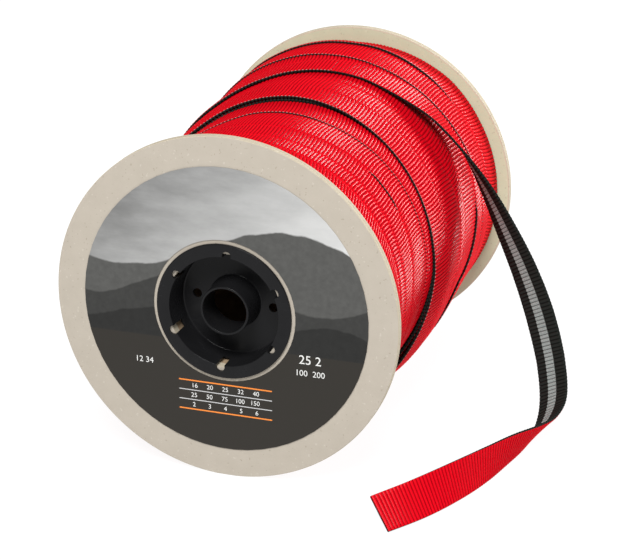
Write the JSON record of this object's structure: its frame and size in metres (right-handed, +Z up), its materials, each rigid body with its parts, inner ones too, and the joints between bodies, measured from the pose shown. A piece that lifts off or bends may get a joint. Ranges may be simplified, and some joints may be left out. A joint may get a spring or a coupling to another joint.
{
  "type": "roll of flat webbing on a board spool",
  "caption": "Flat red webbing with a black back, wound on a spool of round boards with hub inserts, its loose end twisting down to lie on the surface beside it.",
  "frame": {"origin": "the middle of the whole footprint, loose end included, on the surface", "axes": "+Y along the spool's axis from the labelled board to the other board, +X towards the side where the loose end lies, +Z up"},
  "size_m": [0.31, 0.3284, 0.2297],
  "materials": {
    "board": "matt laminated board",
    "print": "printed paper ring",
    "card": "brown wound card",
    "moulding": "satin black moulding",
    "webbing": "woven, ribbed, red face and black back with a silver stripe"
  },
  "bodies": {
    "root": {"flange_front": "board", "flange_rear": "board", "label": "print", "core_tube": "card", "hub_front": "moulding", "hub_rear": "moulding", "winding": "webbing", "loose_end": "webbing"}
  },
  "joints": []
}
